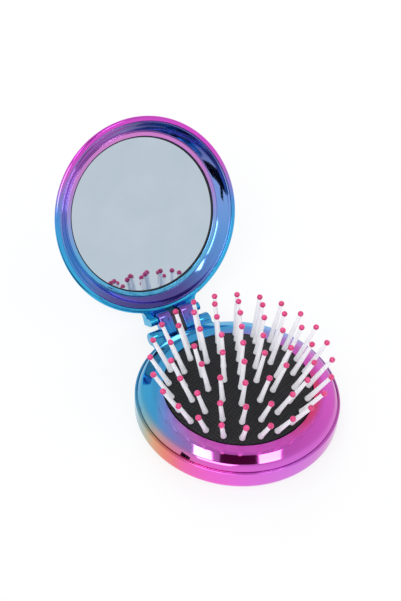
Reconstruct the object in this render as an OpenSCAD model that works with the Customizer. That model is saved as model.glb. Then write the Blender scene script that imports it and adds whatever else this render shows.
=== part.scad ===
// Folding hairbrush with a mirror: a round base that carries a domed rubber pad with pins, and a
// dished mirror lid, joined at the back by a link that turns at both ends. It is drawn open, with
// the pad popped up. Millimetres, +Z up, origin on the surface it stands on, at the middle of the
// open brush's outline; the base's own axis stands ahead of that, towards -Y.

/* [Halves] */
// Outer radius of both halves
body_r = 36; // [31:0.5:43]
// Wall thickness of the base's shell
shell_t = 1.7; // [1.4:0.1:2.2]
// Wall thickness of the lid's shell
lid_t = 1.5; // [1.2:0.1:1.7]
// Gap between pieces of one half that lie side by side
seat_gap = 0.1; // [0.05:0.05:0.2]

/* [Base] */
// Height of the base's outer wall
wall_h = 8.1; // [7.4:0.1:11]
// Radius of the round under the outer wall
base_round = 3; // [2.5:0.5:4.5]
// Radius of the thumb hole in the underside
thumb_hole_r = 14.5; // [12.5:0.5:17.5]
// Height of the collar round the thumb hole, above the floor
thumb_collar_h = 3; // [1:0.5:3.5]
// Width of the thin rim at the top of the outer wall
rim_w = 0.7; // [0.6:0.1:1]
// Open line between that rim and the bezel
rim_gap = 0.3; // [0.2:0.05:0.5]
// Depth of the ledge that carries the bezel, below the top of the wall
ledge_drop = 2.1; // [1.5:0.1:2.5]

/* [Bezel] */
// Height of the bezel above the outer wall
bezel_rise = 3.8; // [3:0.1:5]
// Fall of the bezel's sloping band
slope_drop = 1.7; // [1:0.1:2.2]
// Width of the flat inner band
flat_band_w = 3.7; // [3.2:0.1:5]
// Width of the sloping band
slope_band_w = 3.9; // [3:0.1:5]
// Width of the outer shoulder
shoulder_w = 1.1; // [0.8:0.1:1.5]
// Thickness of the bezel
bezel_t = 1.6; // [1.3:0.1:1.9]

/* [Pad and pins] */
// Rise of the rubber dome above the bezel's opening
pad_crown = 7.2; // [5:0.2:9]
// Thickness of the rubber
pad_t = 1.6; // [1.2:0.1:2]
// Pins in the rings, from the inner ring out
ring_counts = [6, 12, 18, 24];
// Distance of the outer ring of pins from the bezel's opening
pin_margin = 2.2; // [2:0.1:3.5]
// Distance from the outer ring of pins to the next one in
outer_ring_step = 5.05; // [4:0.05:6]
// Length of a pin from the rubber to the centre of its ball tip
pin_len = 15.2; // [10:0.2:17]
// Radius of a pin at its foot
pin_foot_r = 1.05; // [0.8:0.05:1.2]
// Radius of a pin under its ball tip
pin_top_r = 0.68; // [0.5:0.02:0.75]
// Radius of the ball tips
ball_r = 1.05; // [0.9:0.05:1.3]

/* [Push button] */
// Radius of the thumb button under the pad
button_r = 10; // [8:0.5:11.5]
// Thickness of the button
button_t = 1.6; // [1.2:0.1:2]
// Way that the button and the pad's middle go down before the lid closes
pop_travel = 13; // [8:0.5:13]

/* [Lid] */
// Depth of the lid
lid_h = 10.5; // [10:0.1:13]
// Height of the closed lid's lip above the base's outer wall
lid_gap = 2.1; // [1.9:0.1:3]
// Height of the lid's tapering side, up to the round of its back
lid_side_h = 6; // [5:0.1:7]
// Narrowing of that side towards the back, for each millimetre of its height
lid_taper = 0.6; // [0.4:0.05:0.65]
// Width of the lip
lip_w = 1.8; // [1.6:0.1:2]
// Width of the dished wall inside the lip
dish_w = 3.8; // [3.5:0.1:4.5]
// Depth of the dish
dish_h = 4.3; // [3.8:0.1:4.6]
// Width of the raised ring round the mirror
ring_w = 1.8; // [1.4:0.1:2.4]
// Thickness of the mirror glass
glass_t = 1.5; // [1:0.1:2]
// Thickness of the adhesive foam behind the glass
foam_t = 0.5; // [0.3:0.1:0.6]

/* [Hinge] */
// Distance of the base pivot behind the outer wall
base_pivot_out = 4.9; // [4.9:0.1:6]
// Height of the base pivot
base_pivot_z = 3.6; // [3.4:0.1:4.5]
// Distance of the closed lid's pivot behind the outer wall
lid_pivot_out = 2.0; // [2:0.1:3]
// Depth of the closed lid's pivot below the lip
lid_pivot_drop = 1.77; // [1.2:0.01:1.9]
// Angle that the link turns through from closed to open
link_turn = 81; // [60:0.5:90]
// Angle that the lid turns through on the link
lid_turn = 41.2; // [20:0.2:60]
// Radius of the link's two barrels
link_r = 2.6; // [2.2:0.1:2.6]
// Width of the link
link_w = 14; // [12:0.5:16]
// Width of the slot between the link's arms
slot_w = 4.2; // [3.4:0.1:5]
// Radius of the lid's knuckles
ear_r = 2.6; // [2.2:0.1:2.6]
// Width of each outer knuckle of the lid
ear_w = 3; // [2:0.1:4]
// Radius of the base's bosses
boss_r = 2.7; // [2.3:0.1:2.7]
// Width of each boss
boss_w = 5.2; // [3.5:0.1:6]
// Radius of the two steel hinge pins
hinge_pin_r = 0.8; // [0.6:0.05:1]
// Running clearance of the link on the pins
pin_clear = 0.05; // [0.02:0.01:0.1]
// Space between the hinge's pieces along the pins
side_clear = 0.3; // [0.2:0.05:0.5]

/* [Hidden] */
$fn = 96;

shell_colour = "#c463b4";
bezel_colour = "#b95aa4";
lid_colour = "#8f74c8";
hinge_colour = "#35a3cf";
inner_colour = "#3a3540";
rubber_colour = "#17161a";
nylon_colour = "#dcdce6";
ball_colour = "#e2417f";
steel_colour = "#b9bcc2";
glass_colour = "#b8c8d4";

little = 0.01;
arc_steps = 8;

// Base and bezel
wall_in_r = body_r - shell_t;
rim_in_r = body_r - rim_w;
ledge_z = wall_h - ledge_drop;
bezel_r = rim_in_r - rim_gap;
crease_out_r = bezel_r - shoulder_w;
crease_in_r = crease_out_r - slope_band_w;
pad_r = crease_in_r - flat_band_w;
bezel_z = wall_h + bezel_rise;
shoulder_z = bezel_z - slope_drop;
bezel_rim_z = wall_h + 0.4;
bezel_under_z = bezel_z - bezel_t;
skirt_r = wall_in_r - seat_gap;
skirt_w = 1.4;
skirt_drop = 1.4;
edge_break = 0.3;

// Rubber pad, its flange and the ring that clamps it
soft_gap = 0.3;
flange_t = 1;
flange_z = bezel_under_z - soft_gap - flange_t;
clamp_t = 1.5;
clamp_z = flange_z - soft_gap - clamp_t;
dome_edge_r = pad_r - soft_gap;
flange_in_r = pad_r - 1.4;
flange_r = pad_r + 2.1;
dome_r = (pad_r * pad_r + pad_crown * pad_crown) / (2 * pad_crown);
pad_top_z = bezel_z - 0.2 + pad_crown;
dome_z = pad_top_z - dome_r;
clamp_r = flange_r + 0.2;
clamp_in_r = flange_in_r + 0.4;
fence_r = clamp_r + seat_gap;
fence_w = 1.2;
post_w = 1.5;

// Pins
outer_ring_r = pad_r - pin_margin;
ring_step = (outer_ring_r - outer_ring_step) / 3;
ring_radii = [ring_step, 2 * ring_step, 3 * ring_step, outer_ring_r];
ring_turn = 1.7;
head_r = 1.3;
head_t = 0.6;
head_gap = 0.1;
neck_r = 0.8;
neck_clear = 0.05;
foot_h = 0.5;
ball_seat = sqrt(ball_r * ball_r - pin_top_r * pin_top_r) - 0.02;

// Button
button_sphere_r = dome_r - pad_t - head_gap - head_t - head_gap;
button_wall = 1.4;
button_rim_z = pop_travel + 0.4;

// Lid, drawn closed and then swung open
lip_z = wall_h + lid_gap;
lip_round = 0.9;
lip_in_r = body_r - lip_w;
side_r = body_r - lid_taper * (lid_side_h - lip_round);
back_from = 15;
back_ry = (lid_h - lid_side_h) / (1 - sin(back_from));
back_rx = lid_taper * back_ry / tan(back_from);
back_in_r = side_r - back_rx * cos(back_from);
back_mid_h = lid_h - back_ry;
taper_t = lid_t * sqrt(1 + lid_taper * lid_taper);
side_in_h = lip_round + (lip_w - taper_t) / lid_taper;
frame_r = lip_in_r - seat_gap / 2;
frame_rim_w = 0.5;
dish_sag = 0.25;
dish_r = lip_in_r - dish_w;
mirror_r = dish_r - ring_w;
ring_rise = 0.4;
glass_h = dish_h + 0.5;
glass_r = mirror_r + 0.9;
gasket_w = 0.45;
gasket_r = mirror_r - little;
frame_t = 1.1;
foam_r = mirror_r - 1.6;
tray_h = glass_h + glass_t + foam_t;
tray_t = 0.6;
tray_r = mirror_r - 0.6;
tray_post_r = 10;
tray_post_w = 2;

// Hinge
base_pivot_y = body_r + base_pivot_out;
lid_pivot_y = body_r + lid_pivot_out;
lid_pivot_z = lip_z - lid_pivot_drop;
pivot_dy = lid_pivot_y - base_pivot_y;
pivot_dz = lid_pivot_z - base_pivot_z;
pivot_gap = sqrt(pivot_dy * pivot_dy + pivot_dz * pivot_dz);
closed_angle = atan2(pivot_dz, pivot_dy);
open_angle = closed_angle - link_turn;
open_pivot_y = base_pivot_y + pivot_gap * cos(open_angle);
open_pivot_z = base_pivot_z + pivot_gap * sin(open_angle);
lid_swing = link_turn + lid_turn;
arm_w = (link_w - slot_w) / 2;
boss_in_x = link_w / 2 + side_clear;
ear_in_x = link_w / 2 + side_clear;
centre_knuckle_w = slot_w - 2 * side_clear;
bore_r = hinge_pin_r + pin_clear;
pin_cap = 0.9;
bracket_top_z = base_pivot_z + 1.7;
notch_z = wall_h - 2.9;

// The open lid reaches furthest back at a point of its rounded back; the origin lies midway
reach_in = -cos(lid_swing);
reach_up = sin(lid_swing);
round_reach = sqrt(pow(back_rx * reach_in, 2) + pow(back_ry * reach_up, 2));
closed_reach = back_in_r * reach_in + (lip_z + back_mid_h) * reach_up + round_reach;
pivot_reach = -lid_pivot_y * reach_in + lid_pivot_z * reach_up;
back_y = open_pivot_y + closed_reach - pivot_reach;
base_y = -(back_y - body_r) / 2;

// Points of an elliptical quarter, from its side to its top
function quarter(cx, cy, rx, ry, from = 0, to = 90, steps = arc_steps) =
    [for (i = [0 : steps]) let (a = from + (to - from) * i / steps)
        [cx + rx * cos(a), cy + ry * sin(a)]];

// Points from one place to another along a shallow arc that sags to the right of the way
function sagging(x0, y0, x1, y1, sag, steps = arc_steps) =
    [for (i = [0 : steps]) let (t = i / steps, s = sag * sin(180 * t) / norm([x1 - x0, y1 - y0]))
        [x0 + (x1 - x0) * t + s * (y1 - y0), y0 + (y1 - y0) * t - s * (x1 - x0)]];

// Angle of pin i in a ring of count pins; alternate rings are set half a step on
function pin_angle(ring, i) =
    90 + ring_turn + (i + (ring % 2 == 0 ? 0.5 : 0)) * 360 / ring_counts[ring];

module at_base() {
    translate([0, base_y, 0]) children();
}

// Swings the link, drawn as it stands when closed, to its open place
module link_opened() {
    at_base()
        translate([0, base_pivot_y, base_pivot_z])
            rotate([-link_turn, 0, 0])
                translate([0, -base_pivot_y, -base_pivot_z])
                    children();
}

// Swings the lid, drawn closed, to its open place
module lid_opened() {
    at_base()
        translate([0, open_pivot_y, open_pivot_z])
            rotate([-lid_swing, 0, 0])
                translate([0, -lid_pivot_y, -lid_pivot_z])
                    children();
}

// A ring or disc between two heights
module band(r_in, r_out, z_low, z_high) {
    translate([0, 0, z_low])
        difference() {
            cylinder(r = r_out, h = z_high - z_low);
            if (r_in > 0)
                translate([0, 0, -1]) cylinder(r = r_in, h = z_high - z_low + 2);
        }
}

// A round bar along X between two places
module bar(r, x_low, x_high, y, z) {
    translate([x_low, y, z])
        rotate([0, 90, 0])
            cylinder(r = r, h = x_high - x_low);
}

// The same on both sides of the middle
module both_sides() {
    children();
    mirror([1, 0, 0]) children();
}

// ---- Base ----

module base_profile() {
    floor_in_r = body_r - base_round;
    polygon(concat(
        [[thumb_hole_r, 0], [floor_in_r, 0]],
        quarter(floor_in_r, base_round, base_round, base_round, -90, 0),
        [[body_r, wall_h - edge_break / 2], [body_r - edge_break / 2, wall_h],
         [rim_in_r, wall_h], [rim_in_r, ledge_z], [wall_in_r, ledge_z]],
        quarter(floor_in_r, base_round, base_round - shell_t, base_round - shell_t, 0, -90),
        [[fence_r, shell_t], [fence_r, clamp_z], [fence_r - post_w, clamp_z],
         [fence_r - post_w, shell_t], [thumb_hole_r + shell_t, shell_t],
         [thumb_hole_r + shell_t, shell_t + thumb_collar_h],
         [thumb_hole_r, shell_t + thumb_collar_h]]
    ));
}

module base_bosses() {
    both_sides()
        difference() {
            union() {
                bar(boss_r, boss_in_x, boss_in_x + boss_w - 0.6, base_pivot_y, base_pivot_z);
                translate([boss_in_x + boss_w - 0.6, base_pivot_y, base_pivot_z])
                    rotate([0, 90, 0])
                        cylinder(r1 = boss_r, r2 = boss_r - 0.6, h = 0.6);
                translate([boss_in_x, 0, base_pivot_z - boss_r])
                    cube([boss_w - 0.6, base_pivot_y, bracket_top_z - base_pivot_z + boss_r]);
            }
            translate([0, 0, -1]) cylinder(r = body_r - 0.8, h = wall_h + 2);
        }
}

module base_shell() {
    color(shell_colour)
        at_base()
            difference() {
                union() {
                    rotate_extrude() base_profile();
                    base_bosses();
                }
                translate([-link_w / 2 - side_clear, wall_in_r - 4, notch_z])
                    cube([link_w + 2 * side_clear, 10, wall_h]);
                bar(hinge_pin_r, -boss_in_x - boss_w + pin_cap, boss_in_x + boss_w + 1,
                    base_pivot_y, base_pivot_z);
            }
}

module base_bezel() {
    color(bezel_colour)
        at_base()
            rotate_extrude()
                polygon([
                    [pad_r, bezel_under_z], [pad_r, bezel_z - edge_break],
                    [pad_r + edge_break, bezel_z], [crease_in_r, bezel_z],
                    [crease_out_r, shoulder_z], [bezel_r, bezel_rim_z], [bezel_r, ledge_z],
                    [skirt_r, ledge_z], [skirt_r, ledge_z - skirt_drop],
                    [skirt_r - skirt_w, ledge_z - skirt_drop],
                    [skirt_r - skirt_w, shoulder_z - bezel_t],
                    [crease_in_r - bezel_t / 2, bezel_under_z],
                    [fence_r + fence_w, bezel_under_z], [fence_r + fence_w, clamp_z],
                    [fence_r, clamp_z], [fence_r, bezel_under_z]
                ]);
}

module pad_clamp_ring() {
    color(inner_colour)
        at_base()
            band(clamp_in_r, clamp_r, clamp_z, clamp_z + clamp_t);
}

module base_hinge_pin() {
    color(steel_colour)
        at_base()
            bar(hinge_pin_r, -boss_in_x - boss_w + pin_cap, boss_in_x + boss_w - 0.2,
                base_pivot_y, base_pivot_z);
}

// ---- Pad, pins and button ----

// Places children on the dome, standing along its normal, at distance r from the axis
module on_dome(r, angle) {
    translate([0, 0, dome_z])
        rotate([0, 0, angle])
            rotate([0, asin(r / dome_r), 0])
                translate([0, 0, dome_r])
                    children();
}

module each_pin() {
    on_dome(0, 0) children();
    for (ring = [0 : 3])
        for (i = [0 : ring_counts[ring] - 1])
            on_dome(ring_radii[ring], pin_angle(ring, i)) children();
}

module in_ring(ring) {
    for (i = [0 : ring_counts[ring] - 1])
        on_dome(ring_radii[ring], pin_angle(ring, i)) children();
}

module bristle_pad() {
    color(rubber_colour)
        at_base()
            difference() {
                union() {
                    difference() {
                        intersection() {
                            translate([0, 0, dome_z]) sphere(r = dome_r);
                            translate([0, 0, flange_z])
                                cylinder(r = dome_edge_r, h = pad_top_z);
                        }
                        translate([0, 0, dome_z]) sphere(r = dome_r - pad_t);
                    }
                    band(flange_in_r, dome_edge_r, flange_z, bezel_under_z + 0.9);
                    band(flange_in_r, flange_r, flange_z, flange_z + flange_t);
                }
                each_pin()
                    translate([0, 0, -2 * pad_t])
                        cylinder(r = neck_r + neck_clear, h = 4 * pad_t);
            }
}

// One pin: a head under the rubber, a neck through it and a tapered shaft on a round foot
module pin() {
    head_low = -pad_t - head_gap - head_t;
    rotate_extrude()
        polygon([
            [0, head_low], [head_r, head_low], [head_r, head_low + head_t],
            [neck_r, head_low + head_t], [neck_r, head_gap], [pin_foot_r - 0.2, head_gap],
            [pin_foot_r, head_gap + 0.2], [pin_foot_r, foot_h],
            [pin_top_r, pin_len - ball_seat], [0, pin_len - ball_seat]
        ]);
}

// One ball tip, cut flat where it sits on its pin
module tip() {
    translate([0, 0, pin_len])
        difference() {
            sphere(r = ball_r);
            translate([0, 0, -ball_seat - ball_r])
                cylinder(r = 2 * ball_r, h = ball_r);
        }
}

module push_button() {
    color(inner_colour)
        at_base()
            difference() {
                intersection() {
                    translate([0, 0, dome_z]) sphere(r = button_sphere_r);
                    translate([0, 0, button_rim_z]) cylinder(r = button_r, h = pad_top_z);
                }
                intersection() {
                    translate([0, 0, dome_z]) sphere(r = button_sphere_r - button_t);
                    cylinder(r = button_r - button_wall, h = pad_top_z);
                }
            }
}

// ---- Link ----

// One barrel-ended slab of the link between two places along X, as it stands when closed
module link_slab(x_low, x_high) {
    bar(link_r, x_low, x_high, base_pivot_y, base_pivot_z);
    bar(link_r, x_low, x_high, lid_pivot_y, lid_pivot_z);
    translate([x_low, base_pivot_y, base_pivot_z])
        rotate([closed_angle, 0, 0])
            translate([0, 0, -link_r])
                cube([x_high - x_low, pivot_gap, 2 * link_r]);
}

module hinge_link() {
    color(hinge_colour)
        link_opened()
            difference() {
                union() {
                    both_sides() link_slab(slot_w / 2, link_w / 2);
                    bar(link_r, -slot_w, slot_w, base_pivot_y, base_pivot_z);
                }
                bar(bore_r, -link_w, link_w, base_pivot_y, base_pivot_z);
                bar(bore_r, -link_w, link_w, lid_pivot_y, lid_pivot_z);
            }
}

// ---- Lid, drawn closed: the lip faces down at lip_z and h is measured up from it ----

module lid_profile() {
    polygon(concat(
        [[lip_in_r, edge_break], [lip_in_r + edge_break, 0]],
        quarter(body_r - lip_round, lip_round, lip_round, lip_round, -90, 0, 4),
        quarter(back_in_r, back_mid_h, back_rx, back_ry, back_from, 90, 16),
        [[0, lid_h], [0, lid_h - lid_t]],
        quarter(back_in_r, back_mid_h, back_rx - lid_t, back_ry - lid_t, 90, back_from, 16),
        [[lip_in_r, side_in_h]]
    ));
}

// The tab behind the lip, with its two outer knuckles and the middle one
module lid_tab() {
    tab_w = 2 * (ear_in_x + ear_w);
    tab_h = 3.4;
    tab_flare = 4.2;
    flare_x = tab_w / 2 + tab_flare;
    rim_y = sqrt(body_r * body_r - flare_x * flare_x);
    flare_y = body_r + 0.2;
    flare_rise = flare_y - rim_y + 0.2;
    difference() {
        union() {
            translate([0, 0, lip_z])
                linear_extrude(tab_h)
                    both_sides()
                        polygon(concat(
                            [[0, 0], [0, lid_pivot_y], [tab_w / 2, lid_pivot_y]],
                            quarter(flare_x, flare_y, tab_flare, flare_rise, 180, 270),
                            [[flare_x - tab_flare, 0]]
                        ));
            for (x = [-ear_in_x - ear_w, -centre_knuckle_w / 2, ear_in_x])
                translate([x, 0, 0]) {
                    w = x == -centre_knuckle_w / 2 ? centre_knuckle_w : ear_w;
                    bar(ear_r, 0, w, lid_pivot_y, lid_pivot_z);
                    translate([0, lid_pivot_y - ear_r, lid_pivot_z])
                        cube([w, 2 * ear_r, lid_pivot_drop + tab_h]);
                }
        }
        translate([0, 0, lip_z - 1]) cylinder(r = lip_in_r + 0.3, h = lid_h);
        both_sides()
            bar(link_r + side_clear, slot_w / 2 - side_clear, ear_in_x, lid_pivot_y, lid_pivot_z);
    }
}

module lid_shell() {
    color(lid_colour)
        lid_opened()
            difference() {
                union() {
                    translate([0, 0, lip_z]) rotate_extrude() lid_profile();
                    lid_tab();
                }
                bar(hinge_pin_r, -ear_in_x - ear_w + pin_cap, ear_in_x + ear_w + 1,
                    lid_pivot_y, lid_pivot_z);
            }
}

module mirror_frame() {
    color(lid_colour)
        lid_opened()
            translate([0, 0, lip_z])
                rotate_extrude()
                    polygon(concat(
                        [[frame_r, lip_round], [frame_r, edge_break]],
                        sagging(frame_r - frame_rim_w, edge_break, dish_r, dish_h, dish_sag),
                        [[dish_r - edge_break, dish_h - ring_rise],
                         [mirror_r + edge_break, dish_h - ring_rise],
                         [mirror_r, dish_h - ring_rise + edge_break], [mirror_r, glass_h],
                         [glass_r + seat_gap, glass_h], [glass_r + seat_gap, glass_h + frame_t],
                         [dish_r + 0.6, glass_h + frame_t], [dish_r + 0.8, dish_h + 0.6]]
                    ));
}

module mirror_gasket() {
    color(rubber_colour)
        lid_opened()
            band(gasket_r - gasket_w, gasket_r, lip_z + glass_h - gasket_w, lip_z + glass_h);
}

module mirror_glass() {
    color(glass_colour)
        lid_opened()
            band(0, glass_r, lip_z + glass_h, lip_z + glass_h + glass_t);
}

module mirror_foam() {
    color("#e8e6e0")
        lid_opened()
            band(0, foam_r, lip_z + glass_h + glass_t, lip_z + tray_h);
}

module mirror_tray() {
    color(inner_colour)
        lid_opened() {
            band(0, tray_r, lip_z + tray_h, lip_z + tray_h + tray_t);
            band(tray_post_r - tray_post_w, tray_post_r, lip_z + tray_h,
                lip_z + lid_h - lid_t);
        }
}

module lid_hinge_pin() {
    color(steel_colour)
        lid_opened()
            bar(hinge_pin_r, -ear_in_x - ear_w + pin_cap, ear_in_x + ear_w - 0.2,
                lid_pivot_y, lid_pivot_z);
}

module pin_centre() { color(nylon_colour) at_base() on_dome(0, 0) pin(); }
module pins_inner_ring() { color(nylon_colour) at_base() in_ring(0) pin(); }
module pins_second_ring() { color(nylon_colour) at_base() in_ring(1) pin(); }
module pins_third_ring() { color(nylon_colour) at_base() in_ring(2) pin(); }
module pins_outer_ring() { color(nylon_colour) at_base() in_ring(3) pin(); }
module tip_centre() { color(ball_colour) at_base() on_dome(0, 0) tip(); }
module tips_inner_ring() { color(ball_colour) at_base() in_ring(0) tip(); }
module tips_second_ring() { color(ball_colour) at_base() in_ring(1) tip(); }
module tips_third_ring() { color(ball_colour) at_base() in_ring(2) tip(); }
module tips_outer_ring() { color(ball_colour) at_base() in_ring(3) tip(); }

base_shell();
base_bezel();
pad_clamp_ring();
base_hinge_pin();
bristle_pad();
push_button();
pin_centre();
pins_inner_ring();
pins_second_ring();
pins_third_ring();
pins_outer_ring();
tip_centre();
tips_inner_ring();
tips_second_ring();
tips_third_ring();
tips_outer_ring();
hinge_link();
lid_shell();
mirror_frame();
mirror_gasket();
mirror_glass();
mirror_foam();
mirror_tray();
lid_hinge_pin();
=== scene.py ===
"""Folding hairbrush with a mirror, standing open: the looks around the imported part.

Lengths are written in millimetres, as the part's own are, and turned to metres by MM.
Each half is modelled about its own axis and then put where the open brush has it.
"""

from math import asin, atan2, cos, degrees, hypot, pi, radians, sin, sqrt, tan

import bpy
from mathutils import Matrix, Vector


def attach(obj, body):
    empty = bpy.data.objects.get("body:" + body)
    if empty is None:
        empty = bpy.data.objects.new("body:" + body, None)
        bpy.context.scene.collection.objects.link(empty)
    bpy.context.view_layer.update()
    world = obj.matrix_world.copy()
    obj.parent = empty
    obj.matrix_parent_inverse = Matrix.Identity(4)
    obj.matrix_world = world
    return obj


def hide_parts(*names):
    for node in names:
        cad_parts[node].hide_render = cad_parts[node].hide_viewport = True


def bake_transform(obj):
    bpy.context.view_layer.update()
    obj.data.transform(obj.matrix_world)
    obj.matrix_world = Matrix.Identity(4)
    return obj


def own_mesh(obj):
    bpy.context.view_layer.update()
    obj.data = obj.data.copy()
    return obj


MM = 0.001

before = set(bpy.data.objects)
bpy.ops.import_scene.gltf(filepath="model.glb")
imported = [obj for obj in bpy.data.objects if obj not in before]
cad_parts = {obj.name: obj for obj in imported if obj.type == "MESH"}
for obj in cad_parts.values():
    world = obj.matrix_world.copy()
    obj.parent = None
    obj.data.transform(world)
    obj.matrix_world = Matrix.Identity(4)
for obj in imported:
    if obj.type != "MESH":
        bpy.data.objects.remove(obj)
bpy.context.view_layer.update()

# ---- Sizes that the visible pieces share with the part, in mm ----

BODY_R = 36.0
SHELL_T = 1.7
LID_T = 1.5
SEAT_GAP = 0.1
WALL_H = 8.1
BASE_ROUND = 3.0
THUMB_R = 14.5
COLLAR_H = 3.0
RIM_W = 0.7
RIM_GAP = 0.3
LEDGE_Z = 6.0
WALL_IN_R = BODY_R - SHELL_T
RIM_IN_R = BODY_R - RIM_W
BEZEL_R = RIM_IN_R - RIM_GAP
CREASE_OUT_R = 33.9
CREASE_IN_R = 30.0
PAD_R = 26.3
BEZEL_Z = 11.9
SHOULDER_Z = 10.2
BEZEL_T = 1.6
DOME_TOP_Z = 18.9
DOME_CROWN = 7.2
DOME_R = (PAD_R**2 + DOME_CROWN**2) / (2 * DOME_CROWN)
DOME_Z = DOME_TOP_Z - DOME_R
PAD_T = 1.6
FLANGE_Z = 9.0
FLANGE_TOP_Z = 10.0
FLANGE_R = 28.4
PIN_LEN = 15.2
PIN_ROOT_H = 2.4
PIN_HEAD_R = 1.3
PIN_HEAD_T = 0.6
PIN_NECK_R = 0.8
PIN_FOOT_R = 1.05
PIN_TOP_R = 0.68
BALL_R = 1.05
BALL_SEAT = 0.78
RING_COUNTS = (6, 12, 18, 24)
RING_RADII = (6.35, 12.7, 19.05, 24.1)
RING_TURN = 1.7
BUTTON_R = 10.0
BUTTON_RIM_Z = 13.4

LIP_Z = 10.2
LIP_ROUND = 0.9
LIP_IN_R = 34.2
LID_H = 10.5
LID_SIDE_H = 6.0
LID_TAPER = 0.6
FRAME_R = 34.15
DISH_R = 30.35
DISH_H = 4.3
MIRROR_R = 28.55
RING_H = 3.9
GLASS_H = 4.8
GLASS_R = 29.45
GLASS_T = 1.5

BASE_Y = -27.074
BASE_PIVOT = (40.9, 3.6)
CLOSED_PIVOT = (38.0, 8.43)
LINK_TURN = 81.0
LID_TURN = 41.2
LINK_W = 14.0
SLOT_W = 4.2
SIDE_CLEAR = 0.3
EAR_W = 3.0
BOSS_W = 5.2

# These four are slimmer than the part's own, to look like the real hinge
LINK_R = 2.5
EAR_R = 1.5
KNUCKLE_R = 1.7
BOSS_R = 2.5

# ---- Where the halves and the link stand when the brush is open ----

pivot_run = CLOSED_PIVOT[0] - BASE_PIVOT[0]
pivot_rise = CLOSED_PIVOT[1] - BASE_PIVOT[1]
PIVOT_GAP = hypot(pivot_run, pivot_rise)
CLOSED_ANGLE = degrees(atan2(pivot_rise, pivot_run))
open_angle = radians(CLOSED_ANGLE - LINK_TURN)
OPEN_PIVOT = (
    BASE_PIVOT[0] + PIVOT_GAP * cos(open_angle),
    BASE_PIVOT[1] + PIVOT_GAP * sin(open_angle),
)
LID_SWING = LINK_TURN + LID_TURN


def shift(x, y, z):
    return Matrix.Translation((x * MM, y * MM, z * MM))


def about_x(angle):
    return Matrix.Rotation(radians(angle), 4, "X")


AT_BASE = shift(0, BASE_Y, 0)
TO_BASE_PIVOT = shift(0, -BASE_PIVOT[0], -BASE_PIVOT[1])
TO_CLOSED_PIVOT = shift(0, -CLOSED_PIVOT[0], -CLOSED_PIVOT[1])
AT_LINK = AT_BASE @ shift(0, *BASE_PIVOT) @ about_x(-LINK_TURN) @ TO_BASE_PIVOT
AT_LID = AT_BASE @ shift(0, *OPEN_PIVOT) @ about_x(-LID_SWING) @ TO_CLOSED_PIVOT
# The open lid's direction away from the hinge
LID_AWAY = (AT_LID.to_3x3() @ Vector((0, -1, 0))).normalized()
LID_CENTRE = AT_LID @ Vector((0, 0, LIP_Z * MM))

# ---- Modelling helpers ----


def nothing_selected():
    if bpy.context.mode != "OBJECT":
        bpy.ops.object.mode_set(mode="OBJECT")
    bpy.ops.object.select_all(action="DESELECT")


def only(piece):
    nothing_selected()
    piece.select_set(True)
    bpy.context.view_layer.objects.active = piece
    return piece


def edit(piece, select="SELECT"):
    only(piece)
    bpy.ops.object.mode_set(mode="EDIT")
    bpy.ops.mesh.select_mode(type="VERT")
    bpy.ops.mesh.select_all(action=select)


def done(piece):
    bpy.ops.object.mode_set(mode="OBJECT")
    return piece


def settle(piece, place=None):
    """The piece's place goes into its mesh, and its object to the origin."""
    only(piece)
    if place is not None:
        piece.matrix_world = place @ piece.matrix_world
        bpy.context.view_layer.update()
    bpy.ops.object.transform_apply(location=True, rotation=True, scale=True)
    return piece


def smooth(piece, angle=32):
    only(piece)
    bpy.ops.object.shade_smooth_by_angle(angle=radians(angle))
    return piece


def apply_modifier(piece, kind, **settings):
    only(piece)
    modifier = piece.modifiers.new("shape", kind)
    for key, value in settings.items():
        setattr(modifier, key, value)
    bpy.ops.object.modifier_apply(modifier=modifier.name)
    return piece


def soften(piece, width, segments=3, angle=40):
    """Rounds every edge sharper than the angle, as a moulded or filed edge is."""
    return apply_modifier(
        piece, "BEVEL", width=width * MM, segments=segments, limit_method="ANGLE",
        angle_limit=radians(angle), harden_normals=False, use_clamp_overlap=True,
    )


def combine(piece, tool, operation):
    """Adds or cuts away the tool, which is used up."""
    settle(tool)
    settle(piece)
    apply_modifier(piece, "BOOLEAN", object=tool, operation=operation, solver="EXACT")
    bpy.data.objects.remove(tool, do_unlink=True)
    return piece


def mend(piece):
    """Welds the points that rounding and cutting left on one spot."""
    edit(piece)
    bpy.ops.mesh.remove_doubles(threshold=0.004 * MM)
    bpy.ops.mesh.dissolve_degenerate(threshold=0.002 * MM)
    bpy.ops.mesh.normals_make_consistent(inside=False)
    return done(piece)


def rounded(corners, closed=True, steps=5):
    """The profile through (r, z, radius) corners, each rounded by its own radius."""
    path = []
    count = len(corners)
    for i, (x, y, radius) in enumerate(corners):
        if radius == 0 or (not closed and i in (0, count - 1)):
            path.append((x, y))
            continue
        before = Vector(corners[i - 1][:2]) - Vector((x, y))
        after = Vector(corners[(i + 1) % count][:2]) - Vector((x, y))
        half = before.angle(after) / 2
        back = min(radius / tan(half), 0.48 * before.length, 0.48 * after.length)
        real = back * tan(half)
        between = (before.normalized() + after.normalized()).normalized()
        middle = Vector((x, y)) + between * (real / sin(half))
        start = Vector((x, y)) + before.normalized() * back - middle
        end = Vector((x, y)) + after.normalized() * back - middle
        turn = start.angle_signed(end)
        for k in range(steps + 1):
            a = -turn * k / steps
            path.append((
                middle.x + start.x * cos(a) - start.y * sin(a),
                middle.y + start.x * sin(a) + start.y * cos(a),
            ))
    return path


def quarter(cx, cy, rx, ry, start=0, end=90, steps=8):
    """Points of an ellipse's arc, each with no rounding of its own."""
    angles = [radians(start + (end - start) * i / steps) for i in range(steps + 1)]
    return [(cx + rx * cos(a), cy + ry * sin(a), 0) for a in angles]


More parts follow.
